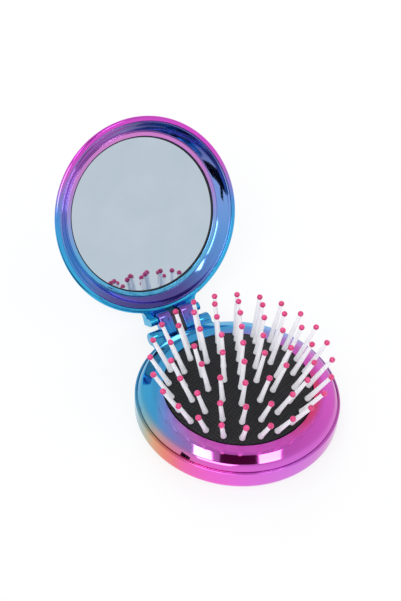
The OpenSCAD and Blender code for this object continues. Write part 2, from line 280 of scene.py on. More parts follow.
def turned(name, path, place, segments=160, closed=True):
    """A turned piece: a circle at the path's first point, extruded ring by ring along the path.

    Where an open path ends on the axis, the ring there is merged to one point."""
    nothing_selected()
    path = [(max(r, 0.01), z) for r, z in path]
    r_now, z_now = path[0]
    bpy.ops.mesh.primitive_circle_add(
        vertices=segments, radius=r_now * MM, fill_type="NOTHING", location=(0, 0, z_now * MM)
    )
    piece = bpy.context.object
    piece.name = piece.data.name = name
    edit(piece)
    for r, z in path[1:] + (path[:1] if closed else []):
        bpy.ops.mesh.extrude_region_move(TRANSFORM_OT_translate={"value": (0, 0, (z - z_now) * MM)})
        bpy.ops.transform.resize(
            value=(r / r_now, r / r_now, 1), center_override=(0, 0, z * MM)
        )
        r_now, z_now = r, z
    bpy.ops.mesh.select_all(action="SELECT")
    bpy.ops.mesh.remove_doubles(threshold=0.025 * MM if not closed else 0.0005 * MM)
    bpy.ops.mesh.normals_make_consistent(inside=False)
    done(piece)
    return settle(piece, place)


def bar(name, radius, x_low, x_high, y, z, vertices=64):
    """A round bar along X, about (y, z)."""
    nothing_selected()
    bpy.ops.mesh.primitive_cylinder_add(
        vertices=vertices, radius=radius * MM, depth=(x_high - x_low) * MM,
        location=((x_low + x_high) / 2 * MM, y * MM, z * MM), rotation=(0, pi / 2, 0),
    )
    bpy.context.object.name = name
    return settle(bpy.context.object)


def block(name, low, high):
    """A block between two corners."""
    nothing_selected()
    bpy.ops.mesh.primitive_cube_add(size=1, location=[(a + b) / 2 * MM for a, b in zip(low, high)])
    piece = bpy.context.object
    piece.name = name
    piece.scale = [(b - a) * MM for a, b in zip(low, high)]
    return settle(piece)


def both_sides(make, *args):
    """The same bar or block on both sides of the middle, as one tool."""
    pieces = [make(*args), make(*args)]
    edit(pieces[1])
    bpy.ops.transform.resize(value=(-1, 1, 1), center_override=(0, 0, 0))
    bpy.ops.mesh.flip_normals()
    done(pieces[1])
    nothing_selected()
    for piece in pieces:
        piece.select_set(True)
    bpy.context.view_layer.objects.active = pieces[0]
    bpy.ops.object.join()
    return bpy.context.object


def copied(master, name, place):
    """A copy of a piece modelled once, with its own mesh, put in its place."""
    only(master)
    bpy.ops.object.duplicate()
    piece = bpy.context.object
    piece.name = piece.data.name = name
    return settle(piece, place)


# ---- Material helpers ----


def linear(hex_colour):
    """An sRGB hex colour as a linear RGBA tuple."""
    values = [int(hex_colour[i:i + 2], 16) / 255 for i in (1, 3, 5)]
    return tuple(
        v / 12.92 if v <= 0.04045 else ((v + 0.055) / 1.055) ** 2.4 for v in values
    ) + (1.0,)


def add(tree, kind, inputs=None, **settings):
    """Adds a node with its settings, and a value or a link on each named input."""
    made = tree.nodes.new(kind)
    for key, value in settings.items():
        setattr(made, key, value)
    for key, value in (inputs or {}).items():
        if isinstance(value, bpy.types.NodeSocket):
            tree.links.new(value, made.inputs[key])
        else:
            made.inputs[key].default_value = value
    return made


def new_material(name):
    material = bpy.data.materials.new(name)
    material.use_nodes = True
    material.node_tree.nodes.clear()
    return material, material.node_tree


def place_of(tree, origin):
    """Object coordinates in millimetres from a point of the row frame."""
    coordinates = add(tree, "ShaderNodeTexCoord")
    moved = add(
        tree, "ShaderNodeVectorMath", {0: coordinates.outputs["Object"], 1: tuple(origin)},
        operation="SUBTRACT",
    )
    scaled = add(
        tree, "ShaderNodeVectorMath", {0: moved.outputs[0], "Scale": 1 / MM}, operation="SCALE"
    )
    return scaled.outputs[0]


def along(tree, place, direction):
    """How far a place lies along a direction, in millimetres."""
    unit = Vector(direction).normalized()
    return add(
        tree, "ShaderNodeVectorMath", {0: place, 1: tuple(unit)}, operation="DOT_PRODUCT"
    ).outputs["Value"]


def calc(tree, operation, a, b=0.0, c=0.0):
    return add(tree, "ShaderNodeMath", {0: a, 1: b, 2: c}, operation=operation).outputs[0]


def ramp(tree, value, low, high, stops, smooth_steps="LINEAR"):
    """A colour that runs through stops {value: hex} between two ends."""
    share = add(
        tree, "ShaderNodeMapRange",
        {"Value": value, "From Min": low, "From Max": high, "To Min": 0.0, "To Max": 1.0},
    )
    made = add(tree, "ShaderNodeValToRGB", {"Fac": share.outputs[0]})
    made.color_ramp.interpolation = smooth_steps
    elements = made.color_ramp.elements
    places = sorted(stops)
    while len(elements) < len(places):
        elements.new(0.5)
    for element, at in zip(elements, places):
        element.position = (at - low) / (high - low)
        element.color = linear(stops[at])
    return made.outputs[0]


def mix(tree, share, a, b):
    made = add(tree, "ShaderNodeMix", data_type="RGBA")
    for key, value in ((0, share), (6, a), (7, b)):
        if isinstance(value, bpy.types.NodeSocket):
            tree.links.new(value, made.inputs[key])
        else:
            made.inputs[key].default_value = value
    return made.outputs[2]


def noise(tree, place, size, detail=2.0, roughness=0.5):
    """Noise with grains of a size in millimetres."""
    return add(
        tree, "ShaderNodeTexNoise",
        {"Vector": place, "Scale": 1 / size, "Detail": detail, "Roughness": roughness},
    ).outputs[0]


def finish_material(tree, shader):
    add(tree, "ShaderNodeOutputMaterial", {"Surface": shader.outputs[0]})


def bump(tree, height, distance, strength=1.0):
    return add(
        tree, "ShaderNodeBump", {"Height": height, "Distance": distance * MM, "Strength": strength}
    ).outputs["Normal"]


# ---- Materials ----

# Vacuum-metallised ABS under an interference lacquer: a mirror-like coat over smooth moulded
# plastic, whose colour runs from cyan at the hinge through violet to magenta. The lacquer's
# faint orange peel, about 2.5 mm across, makes reflections waver.


def plated(name, colour_of, origin, roughness=0.13, peel=0.006, satin_of=None):
    material, tree = new_material(name)
    place = place_of(tree, origin)
    colour = colour_of(tree, place)
    haze = noise(tree, place, 9.0, 3.0)
    rough = add(
        tree, "ShaderNodeMapRange",
        {"Value": haze, "To Min": roughness * 0.75, "To Max": roughness * 1.3},
    ).outputs[0]
    if satin_of:
        rough = calc(tree, "ADD", rough, satin_of(tree, place))
    normal = bump(tree, noise(tree, place, 2.5, 1.0), peel)
    shader = add(
        tree, "ShaderNodeBsdfPrincipled",
        {"Base Color": colour, "Metallic": 1.0, "Roughness": rough, "Normal": normal,
         "Coat Weight": 0.35, "Coat Roughness": 0.04},
    )
    finish_material(tree, shader)
    return material


BASE_GRADIENT = (0.35, -0.94, 0)
BASE_AXIS = Vector((0, BASE_Y * MM, 0))


def distance_from_axis(tree, place):
    parts = add(tree, "ShaderNodeSeparateXYZ", {0: place})
    squares = [calc(tree, "POWER", parts.outputs[i], 2.0) for i in (0, 1)]
    return calc(tree, "SQRT", calc(tree, "ADD", *squares))


def bezel_colours(tree, place):
    """Cyan at the hinge, violet at the sides, magenta in front, a coral blush at the pad's edge."""
    wander = calc(tree, "MULTIPLY_ADD", noise(tree, place, 25.0, 1.0), 8.0, -4.0)
    forward = add(tree, "ShaderNodeSeparateXYZ", {0: place}).outputs[1]
    radius = distance_from_axis(tree, place)
    # The flat band turns from cyan to violet nearer the hinge than the slope does
    inwards = calc(tree, "MULTIPLY_ADD", radius, -1.8, 1.8 * 31.5)
    across = calc(tree, "ADD", along(tree, place, BASE_GRADIENT), wander)
    across = calc(tree, "ADD", across, inwards)
    colour = ramp(tree, across, -36, 36, {
        -36: "#2fa6d2", -15: "#42a6da", -7: "#7f96dc", 1: "#b083d2", 9: "#d06cc4",
        18: "#dc5cc8", 27: "#dd58c8", 36: "#d857c4",
    })
    near_pad = add(
        tree, "ShaderNodeMapRange", {"Value": radius, "From Min": 30.4, "From Max": 27.2},
        interpolation_type="SMOOTHSTEP",
    ).outputs[0]
    to_the_right = add(
        tree, "ShaderNodeMapRange",
        {"Value": along(tree, place, (0.94, -0.34, 0)), "From Min": 8.0, "From Max": 25.0},
        interpolation_type="SMOOTHSTEP",
    ).outputs[0]
    in_front = add(
        tree, "ShaderNodeMapRange", {"Value": forward, "From Min": 2.0, "From Max": -12.0},
        interpolation_type="SMOOTHSTEP",
    ).outputs[0]
    blush = calc(tree, "MULTIPLY", calc(tree, "MULTIPLY", near_pad, to_the_right), in_front)
    colour = mix(tree, blush, colour, linear("#e0416f"))
    shoulder = add(
        tree, "ShaderNodeMapRange",
        {"Value": radius, "From Min": 32.0, "From Max": 35.0, "To Max": 0.8},
        interpolation_type="SMOOTHSTEP",
    ).outputs[0]
    return mix(tree, shoulder, colour, wall_colours(tree, place))


def flat_band_satin(tree, place):
    """The flat band round the pad came off the mould satin, the slope polished."""
    return add(
        tree, "ShaderNodeMapRange",
        {"Value": distance_from_axis(tree, place), "From Min": 29.2, "From Max": 30.2,
         "To Min": 0.24, "To Max": 0.0},
    ).outputs[0]


def wall_colours(tree, place):
    """The wall's interference colours run round it: cyan, olive, salmon, pink, orchid, violet."""
    parts = add(tree, "ShaderNodeSeparateXYZ", {0: place})
    turn = calc(tree, "ARCTAN2", parts.outputs[0], parts.outputs[1])
    angle = calc(tree, "MULTIPLY", turn, 180 / pi)
    wander = calc(tree, "MULTIPLY_ADD", noise(tree, place, 20.0, 1.0), 14.0, -7.0)
    # 0 is towards the hinge, 90 the right, 180 and -180 the front, -90 the left
    return ramp(tree, calc(tree, "ADD", angle, wander), -180, 180, {
        -180: "#d670dc", -150: "#e868dc", -135: "#f062d0", -121: "#f065b0", -114: "#ee7188",
        -106: "#e8806e", -97: "#d99a70", -88: "#a8a88c", -80: "#85a8a8", -70: "#5fa8c4",
        -57: "#4aa0cc", 0: "#2fa8d4", 45: "#5b96dc", 80: "#a07cc6", 105: "#b468b0",
        125: "#c868b4", 150: "#d068c8",
        180: "#d670dc",
    })


def lid_colours(tree, place):
    """Cyan at the hinge, violet across the middle, magenta at the far edge."""
    wander = calc(tree, "MULTIPLY_ADD", noise(tree, place, 25.0, 1.0), 4.0, -2.0)
    far = calc(tree, "ADD", along(tree, place, LID_AWAY + 0.2 * Vector((1, 0, 0))), wander)
    return ramp(tree, far, -38, 36, {
        -38: "#2fb0dc", -18: "#35aade", -3: "#3aa2dc", 3: "#4f92da", 8: "#8282d2",
        13: "#ab72ca", 17: "#cc60ca", 22: "#d94ccd", 36: "#d94ccd",
    })


def frame_colours(tree, place):
    """The dish is violet to blue, with a painted reflection lighter to the right and a painted dark
    reflection at the far right; the raised ring round the mirror is lilac to light cyan.
    """
    far = along(tree, place, LID_AWAY + 0.2 * Vector((1, 0, 0)))
    # The dish's far end runs a little darker: painted dark reflection.
    dish = ramp(tree, far, -36, 36, {
        -36: "#4c4488", -29: "#6658a6", -21: "#5f88d4", -12: "#4c90d0", 2: "#7f96d6", 13: "#8c82ca",
        22: "#9c76c0", 36: "#8a70b4",
    })
    # Towards the right the dish is mixed to a lighter blue: a painted reflection of the bright
    # floor.
    to_the_right = add(
        tree, "ShaderNodeMapRange",
        {"Value": along(tree, place, (1, 0, 0)), "From Min": 2.0, "From Max": 26.0},
        interpolation_type="SMOOTHSTEP",
    ).outputs[0]
    dish = mix(tree, calc(tree, "MULTIPLY", to_the_right, 0.6), dish, linear("#6ea2e6"))
    # Towards the far right edge the dish is mixed to dark navy: a painted dark reflection.
    far_right_dark_reflection = add(
        tree, "ShaderNodeMapRange",
        {"Value": along(tree, place, Vector((0.6, 0, 0)) + 0.8 * LID_AWAY), "From Min": 24.0,
         "From Max": 30.0, "To Max": 0.75},
        interpolation_type="SMOOTHSTEP",
    ).outputs[0]
    dish = mix(tree, far_right_dark_reflection, dish, linear("#3a4488"))
    ring = ramp(tree, far, -30, 30, {
        -30: "#58b6da", -13: "#62acdc", -3: "#86a0da", 8: "#b088d2", 16: "#c880cc", 30: "#d884cf",
    })
    across = calc(tree, "SQRT", calc(
        tree, "ADD",
        calc(tree, "POWER", along(tree, place, (1, 0, 0)), 2.0),
        calc(tree, "POWER", along(tree, place, LID_AWAY), 2.0),
    ))
    on_ring = add(
        tree, "ShaderNodeMapRange",
        {"Value": across, "From Min": DISH_R + 0.15, "From Max": DISH_R - 0.1},
    ).outputs[0]
    return mix(tree, on_ring, dish, ring)


def hinge_colours(tree, place):
    """Cyan below, blue and violet towards the top of the arms, in soft patches; the violet at the
    arms' tops is partly the plating's colour and partly painted shading where they curve away under
    the tab.
    """
    patches = calc(tree, "MULTIPLY_ADD", noise(tree, place, 5.0, 1.0), 5.0, -2.5)
    height = calc(tree, "ADD", along(tree, place, (0, 0, 1)), patches)
    return ramp(tree, height, -4.0, 4.0, {
        -4: "#2aa0d2", 0: "#2f8ed0", 1.6: "#5a74cc", 3: "#7d5cb4", 4: "#8a5cb0",
    })


bezel_plating = plated("metallised_bezel", bezel_colours, BASE_AXIS, 0.06, 0.004, flat_band_satin)
wall_plating = plated("metallised_wall", wall_colours, BASE_AXIS, 0.14)
lid_plating = plated("metallised_lid", lid_colours, LID_CENTRE, 0.12)
frame_plating = plated("metallised_mirror_frame", frame_colours, LID_CENTRE, 0.09)
hinge_plating = plated("metallised_hinge", hinge_colours, AT_BASE @ Vector((0, 0.043, 0.006)), 0.12)


def pad_rubber():
    """Black rubber moulded against cloth: a fine diagonal weave, 0.9 mm from thread to thread
    (the real one is finer), satin where the threads stand up."""
    material, tree = new_material("woven_print_rubber")
    place = place_of(tree, BASE_AXIS)
    threads = []
    for direction, pitch in (((0.93, 0.37, 0), 0.95), ((-0.37, 0.93, 0), 1.5)):
        phase = calc(tree, "MULTIPLY", along(tree, place, direction), 2 * pi / pitch)
        threads.append(calc(tree, "MULTIPLY_ADD", calc(tree, "SINE", phase), 0.5, 0.5))
    weave = calc(tree, "MULTIPLY", threads[0], calc(tree, "MULTIPLY_ADD", threads[1], 0.5, 0.5))
    worn = noise(tree, place, 7.0, 3.0)
    tone = calc(tree, "MULTIPLY", weave, calc(tree, "MULTIPLY_ADD", worn, 0.9, 0.3))
    colour = ramp(tree, tone, 0.0, 1.0, {0.0: "#08080a", 0.5: "#131416", 1.0: "#2b2d30"})
    rough = add(
        tree, "ShaderNodeMapRange", {"Value": weave, "To Min": 0.75, "To Max": 0.5}
    ).outputs[0]
    shader = add(
        tree, "ShaderNodeBsdfPrincipled",
        {"Base Color": colour, "Roughness": rough, "Normal": bump(tree, weave, 0.12, 0.8),
         "IOR": 1.5, "Specular IOR Level": 0.35},
    )
    finish_material(tree, shader)
    return material


def pin_nylon():
    """Natural nylon, injection moulded: milky white, a little light inside, half gloss."""
    material, tree = new_material("moulded_nylon")
    place = place_of(tree, BASE_AXIS)
    cloud = noise(tree, place, 4.0, 2.0)
    colour = ramp(tree, cloud, 0.25, 0.75, {0.25: "#f4f4f8", 0.5: "#f8f8fb", 0.75: "#fbfbfd"})
    rough = add(
        tree, "ShaderNodeMapRange", {"Value": cloud, "To Min": 0.32, "To Max": 0.45}
    ).outputs[0]
    shader = add(
        tree, "ShaderNodeBsdfPrincipled",
        {"Base Color": colour, "Roughness": rough, "IOR": 1.53, "Subsurface Weight": 0.1,
         "Subsurface Radius": (1.0, 0.95, 1.0), "Subsurface Scale": 0.8 * MM,
         "Normal": bump(tree, noise(tree, place, 1.2, 1.0), 0.01)},
    )
    finish_material(tree, shader)
    return material


def tip_lacquer():
    """Ball tips dipped in pink lacquer: glossy, a little darker where the coat is thick."""
    material, tree = new_material("dipped_pink_lacquer")
    place = place_of(tree, BASE_AXIS)
    thick = noise(tree, place, 1.6, 1.0)
    colour = ramp(tree, thick, 0.3, 0.7, {0.3: "#c92468", 0.5: "#dd3379", 0.7: "#ea4a90"})
    shader = add(
        tree, "ShaderNodeBsdfPrincipled",
        {"Base Color": colour, "Roughness": 0.3, "IOR": 1.5, "Coat Weight": 0.4,
         "Coat Roughness": 0.12, "Normal": bump(tree, thick, 0.02)},
    )
    finish_material(tree, shader)
    return material


def moulded(name, dark, light, grain=0.6, roughness=0.5):
    """Moulded ABS or rubber with a fine spark-eroded grain."""
    material, tree = new_material(name)
    place = place_of(tree, BASE_AXIS)
    fine = noise(tree, place, grain, 2.0)
    colour = ramp(tree, noise(tree, place, 8.0, 2.0), 0.3, 0.7, {0.3: dark, 0.7: light})
    shader = add(
        tree, "ShaderNodeBsdfPrincipled",
        {"Base Color": colour, "Roughness": roughness, "IOR": 1.5,
         "Normal": bump(tree, fine, 0.03, 0.6)},
    )
    finish_material(tree, shader)
    return material


def mirror_silver():
    """Silvered float glass: a clean mirror with a cool cast and the faintest haze of wiping."""
    material, tree = new_material("silvered_glass")
    place = place_of(tree, LID_CENTRE)
    haze = noise(tree, place, 14.0, 3.0)
    colour = ramp(tree, haze, 0.3, 0.7, {0.3: "#bfcdd8", 0.7: "#c6d2dc"})
    rough = add(
        tree, "ShaderNodeMapRange", {"Value": haze, "To Min": 0.015, "To Max": 0.035}
    ).outputs[0]
    shader = add(
        tree, "ShaderNodeBsdfPrincipled",
        {"Base Color": colour, "Metallic": 1.0, "Roughness": rough},
    )
    finish_material(tree, shader)
    return material


def drawn_steel():
    """Drawn steel wire: bright, with fine lines round it."""
    material, tree = new_material("drawn_steel")
    place = place_of(tree, BASE_AXIS)
    lines = noise(tree, place, 0.25, 2.0)
    rough = add(
        tree, "ShaderNodeMapRange", {"Value": lines, "To Min": 0.2, "To Max": 0.35}
    ).outputs[0]
    colour = ramp(tree, lines, 0.3, 0.7, {0.3: "#a9acb2", 0.7: "#c4c7cc"})
    shader = add(
        tree, "ShaderNodeBsdfPrincipled",
        {"Base Color": colour, "Metallic": 1.0, "Roughness": rough},
    )
    finish_material(tree, shader)
    return material


rubber = pad_rubber()
nylon = pin_nylon()
lacquer = tip_lacquer()
silver = mirror_silver()
steel = drawn_steel()
inner_abs = moulded("moulded_abs_dark", "#2f2b35", "#3a3540")
button_abs = moulded("moulded_abs_button", "#35303b", "#413b48", 0.5, 0.42)
gasket_rubber = moulded("gasket_rubber", "#0b0b0d", "#141416", 0.4, 0.6)
foam_tape = moulded("foam_tape", "#dcdad4", "#e8e6e0", 0.5, 0.85)


def dress(piece, material, slot, body, *nodes):
    """Gives a finished piece its material and its body, and hides the nodes that it stands for; the
    slot is not used.
    """
    piece.data.materials.clear()
    piece.data.materials.append(material)
    if body:
        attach(piece, body)
    if nodes:
        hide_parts(*nodes)
    return piece


# ---- Base ----


def make_base_shell():
    floor_r = BODY_R - BASE_ROUND
    fence = 28.6 + SEAT_GAP
    path = rounded(
        [(THUMB_R, 0, 0.5), (floor_r, 0, 0)]
        + quarter(floor_r, BASE_ROUND, BASE_ROUND, BASE_ROUND, -90, 0, 12)
        + [(BODY_R, WALL_H, 0.3), (RIM_IN_R, WALL_H, 0.2), (RIM_IN_R, LEDGE_Z, 0),
           (WALL_IN_R, LEDGE_Z, 0)]
        + quarter(floor_r, BASE_ROUND, BASE_ROUND - SHELL_T, BASE_ROUND - SHELL_T, 0, -90, 6)
        + [(fence, SHELL_T, 0), (fence, 7.2, 0), (fence - 1.5, 7.2, 0), (fence - 1.5, SHELL_T, 0),
           (THUMB_R + SHELL_T, SHELL_T, 0.3), (THUMB_R + SHELL_T, SHELL_T + COLLAR_H, 0.5),
           (THUMB_R, SHELL_T + COLLAR_H, 0.6)]
    )
    shell = turned("base_shell_body", path, None)
    half = LINK_W / 2 + SIDE_CLEAR
    notch = block("notch", (-half, WALL_IN_R - 4, 5.2), (half, WALL_IN_R + 6, 20))
    combine(shell, notch, "DIFFERENCE")
    y, z = BASE_PIVOT
    bosses = both_sides(bar, "boss", BOSS_R, half, half + BOSS_W, y, z)
    soften(bosses, 0.55, 4)
    arms = both_sides(
        block, "boss_arm", (half, BODY_R - 2.2, z - BOSS_R), (half + BOSS_W - 0.5, y, z + 1.7)
    )
    soften(arms, 0.45, 3)
    combine(bosses, arms, "UNION")
    inside_r = BODY_R - 0.8
    inside_path = [(0.01, -1), (inside_r, -1), (inside_r, 12), (0.01, 12)]
    inside = turned("inside", inside_path, None, closed=False)
    combine(bosses, inside, "DIFFERENCE")
    combine(shell, bosses, "UNION")
    settle(shell, AT_BASE)
    smooth(shell)
    return dress(shell, wall_plating, "shell_metallised", "base", "base_shell")


def make_bezel():
    skirt_r = WALL_IN_R - SEAT_GAP
    path = rounded([
        (PAD_R, BEZEL_Z - BEZEL_T, 0.25), (PAD_R, BEZEL_Z, 0.35), (CREASE_IN_R, BEZEL_Z, 4.5),
        (CREASE_OUT_R, SHOULDER_Z, 1.9), (BEZEL_R, WALL_H + 0.4, 0.4),
        (BEZEL_R, WALL_H - 0.25, 0.1),
        (RIM_IN_R - 0.05, WALL_H - 0.32, 0), (RIM_IN_R - 0.05, LEDGE_Z, 0),
        (skirt_r, LEDGE_Z, 0), (skirt_r, LEDGE_Z - 1.4, 0), (skirt_r - 1.4, LEDGE_Z - 1.4, 0),
        (skirt_r - 1.4, SHOULDER_Z - BEZEL_T, 0), (CREASE_IN_R - BEZEL_T / 2, BEZEL_Z - BEZEL_T, 0),
    ], steps=7)
    bezel = turned("base_bezel_ring", path, AT_BASE, 192)
    smooth(bezel, 40)
    return dress(bezel, bezel_plating, "bezel_metallised", "base", "base_bezel")


def dome_height(r, radius=DOME_R):
    return DOME_Z + sqrt(radius**2 - r**2)


def make_pad():
    edge = PAD_R - 0.3
    inner = edge - PAD_T
    top = [(edge * sin(radians(3.6 * i)), 0) for i in range(26)]
    outer = [(r, dome_height(r)) for r, _ in top]
    under = [
        (r * inner / edge, dome_height(r * inner / edge, DOME_R - PAD_T)) for r, _ in reversed(top)
    ]
    rim = [
        (edge, 11.0), (edge, FLANGE_TOP_Z), (FLANGE_R, FLANGE_TOP_Z), (FLANGE_R, FLANGE_Z),
        (inner, FLANGE_Z),
    ]
    pad = turned("rubber_pad", outer + rim + under, AT_BASE, 128, closed=False)
    smooth(pad, 40)
    dress(pad, rubber, "pad_rubber", None, "bristle_pad")
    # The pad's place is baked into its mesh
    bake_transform(pad)
    return pad


def make_button():
    r_top = DOME_R - PAD_T - 0.8
    top = [(BUTTON_R * i / 6, DOME_Z + sqrt(r_top**2 - (BUTTON_R * i / 6) ** 2)) for i in range(7)]
    under = [(8.6, BUTTON_RIM_Z), (8.4, BUTTON_RIM_Z + 1.2)]
    for i in range(4):
        r = 7.4 - 1.7 * i
        under += [(r, 15.0), (r - 0.25, 14.65), (r - 0.6, 14.65), (r - 0.85, 15.0)]
    edge = [(BUTTON_R, BUTTON_RIM_Z + 0.3), (BUTTON_R - 0.3, BUTTON_RIM_Z)]
    path = top + edge + under + [(0, 15.0)]
    button = turned("thumb_button", path, AT_BASE, 96, closed=False)
    smooth(button, 30)
    return dress(button, button_abs, "button_plastic", "pop_up", "push_button")


# ---- Pins ----

# The names of the pin rings, from the middle out
RING_NAMES = ("inner", "second", "third", "outer")


def pin_place(r, angle):
    """Stands a pin on the dome, along its normal, at a distance and angle from the axis."""
    lean = Matrix.Rotation(asin(r / DOME_R), 4, "Y")
    turn = Matrix.Rotation(radians(angle), 4, "Z")
    return AT_BASE @ shift(0, 0, DOME_Z) @ turn @ lean @ shift(0, 0, DOME_R)


def make_pins():
    head_top = PIN_HEAD_T - PIN_ROOT_H
    shaft = [(0.01, -PIN_ROOT_H), (PIN_HEAD_R, -PIN_ROOT_H), (PIN_HEAD_R, head_top)]
    shaft += [(PIN_NECK_R, head_top), (PIN_NECK_R, 0.02), (0.86, 0.02)]
    for a in (radians(30), radians(60), radians(90)):
        shaft.append((PIN_FOOT_R - 0.19 + 0.19 * sin(a), 0.21 - 0.19 * cos(a)))
    shaft += [(PIN_FOOT_R, 0.75), (0.99, 1.2), (0.93, 2.0), (0.88, 3.4), (0.82, 6.5), (0.75, 10.5)]
    shaft += [(PIN_TOP_R + 0.01, PIN_LEN - 1.3), (PIN_TOP_R, PIN_LEN - BALL_SEAT)]
    shaft += [(0.01, PIN_LEN - BALL_SEAT + 0.1)]
    pin_master = smooth(turned("pin_master", shaft, None, 20, closed=False), 40)
    low = degrees(asin(PIN_TOP_R / BALL_R))
    ball = [(BALL_R * sin(radians(180 - low)), PIN_LEN - BALL_R * cos(radians(low)))]
    ball = [(0.01, PIN_LEN - BALL_SEAT)] + ball
    for i in range(1, 11):
        a = radians(180 - low - (180 - low) * i / 10)
        ball.append((BALL_R * sin(a), PIN_LEN + 0.94 * BALL_R * cos(a)))
    tip_master = smooth(turned("tip_master", ball, None, 20, closed=False), 60)
    places = [("centre", 0, 0.0, 0.0)]
    for ring, (count, radius) in enumerate(zip(RING_COUNTS, RING_RADII)):
        half_step = 0.5 if ring % 2 == 0 else 0.0
        for i in range(count):
            angle = 90 + RING_TURN + (i + half_step) * 360 / count
            places.append((RING_NAMES[ring], i, radius, angle))
    for name, i, radius, angle in places:
        place = pin_place(radius, angle)
        alone = name == "centre"
        pin = copied(pin_master, f"pin_{name}_{i:02d}", place)
        dress(pin, nylon, "pin_nylon", "base", "pin_centre" if alone else f"pins_{name}_ring")
        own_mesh(pin)
        tip = copied(tip_master, f"tip_{name}_{i:02d}", place)
        dress(tip, lacquer, "ball_tip", "base", "tip_centre" if alone else f"tips_{name}_ring")
        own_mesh(tip)
    for master in (pin_master, tip_master):
        bpy.data.objects.remove(master, do_unlink=True)


# ---- Link ----


def stadium(name, radius, x_low, x_high, start, end):
    """A bar that is stretched from one pivot to the other, round at both ends."""
    piece = bar(name, radius, x_low, x_high, *start)
    direction = Vector((0, end[0] - start[0], end[1] - start[1]))
    middle = Vector((0, start[0] * MM, start[1] * MM))
    edit(piece, "DESELECT")
    bpy.ops.object.mode_set(mode="OBJECT")
    for vertex in piece.data.vertices:
        vertex.select = (vertex.co - middle).dot(direction) > 1e-9
    bpy.ops.object.mode_set(mode="EDIT")
    bpy.ops.transform.translate(value=direction * MM)
    return done(piece)


def make_link():
    arm = ("hinge_link_body", LINK_R, SLOT_W / 2, LINK_W / 2, BASE_PIVOT, CLOSED_PIVOT)
    link = both_sides(stadium, *arm)
    soften(link, 0.35, 4)
    settle(link, AT_LINK)
    smooth(link, 35)
    dress(link, hinge_plating, "link_metallised", "link", "hinge_link")
    # The web between the arms, hollowed round the lid's middle knuckle, in dark ABS: painted shade
    # for the black slot
    half = SLOT_W / 2 + 0.5
    web = stadium("link_web", LINK_R - 0.5, -half, half, BASE_PIVOT, CLOSED_PIVOT)
    room = bar("knuckle_room", KNUCKLE_R + 0.3, -half - 1, half + 1, *CLOSED_PIVOT)
    combine(web, room, "DIFFERENCE")
    settle(web, AT_LINK)
    smooth(web, 35)
    dress(web, inner_abs, "link_metallised", "link", "hinge_link")


# ---- Lid ----


def make_lid_shell():
    start = 15
    ry = (LID_H - LID_SIDE_H) / (1 - sin(radians(start)))
    side_r = BODY_R - LID_TAPER * (LID_SIDE_H - LIP_ROUND)
    rx = LID_TAPER * ry / tan(radians(start))
    cx, cy = side_r - rx * cos(radians(start)), LID_H - ry
    taper_t = LID_T * sqrt(1 + LID_TAPER**2)
    inner_h = LIP_ROUND + (BODY_R - LIP_IN_R - taper_t) / LID_TAPER
    corners = quarter(cx, cy, rx, ry, 90, start, 24)
    corners += quarter(BODY_R - LIP_ROUND, LIP_ROUND, LIP_ROUND, LIP_ROUND, 0, -90, 8)
    corners += [(LIP_IN_R, 0, 0.25), (LIP_IN_R, inner_h, 0)]
    corners += quarter(cx, cy, rx - LID_T, ry - LID_T, start, 90, 12)
    path = [(0.01, LIP_Z + LID_H)]
    path += [(r, z + LIP_Z) for r, z in rounded(corners, closed=False)]
    path.append((0.01, LIP_Z + LID_H - LID_T))
    shell = turned("lid_shell_body", path, None, 192, closed=False)
    tab = make_tab()
    combine(shell, tab, "UNION")
    settle(mend(shell), AT_LID)
    smooth(shell, 32)
    return dress(shell, lid_plating, "lid_metallised", "lid", "lid_shell")


def make_tab():
    """The flared tab behind the lip, with its two outer knuckles."""
    y, z = CLOSED_PIVOT
    ear_x = LINK_W / 2 + SIDE_CLEAR
    half = ear_x + EAR_W
    tab_h = 3.4
    flare = 4.2
    above_lip = 0.03  # so that the tab's underside and the lip don't lie in one plane
    nothing_selected()
    rim_y = sqrt(BODY_R**2 - (half + flare) ** 2)
    flare_y = BODY_R + 0.2
    flare_rise = flare_y - rim_y + 0.2
    flare_arc = quarter(half + flare, flare_y, flare, flare_rise, 180, 270)
    side = [(half, y)] + [(px, py) for px, py, _ in flare_arc]
    side += [(half, 20)]
    outline = side + [(-px, py) for px, py in reversed(side)]
    bpy.ops.mesh.primitive_circle_add(vertices=len(outline), radius=1, fill_type="NGON")
    tab = bpy.context.object
    for vertex, (px, py) in zip(tab.data.vertices, outline):
        vertex.co = (px * MM, py * MM, (LIP_Z + above_lip) * MM)
    edit(tab)
    rise = (0, 0, (tab_h - above_lip) * MM)
    bpy.ops.mesh.extrude_region_move(TRANSFORM_OT_translate={"value": rise})
    bpy.ops.mesh.select_all(action="SELECT")
    bpy.ops.mesh.normals_make_consistent(inside=False)
    done(tab)
    for low, high in ((-half, -ear_x), (ear_x, half)):
        ear_top = (high, y + EAR_R - 0.01, LIP_Z + tab_h)
        combine(tab, block("ear_block", (low, y - EAR_R, z), ear_top), "UNION")
        combine(tab, bar("ear", EAR_R, low, high, y, z), "UNION")
    inside_r = LIP_IN_R + 0.3
    inside_path = [(0.01, 5), (inside_r, 5), (inside_r, 30), (0.01, 30)]
    inside = turned("inside", inside_path, None, closed=False)
    combine(tab, inside, "DIFFERENCE")
    room = both_sides(bar, "room", LINK_R + SIDE_CLEAR, SLOT_W / 2 - SIDE_CLEAR, ear_x, y, z)
    combine(tab, room, "DIFFERENCE")
    soften(mend(tab), 0.5, 4, 38)
    return mend(tab)


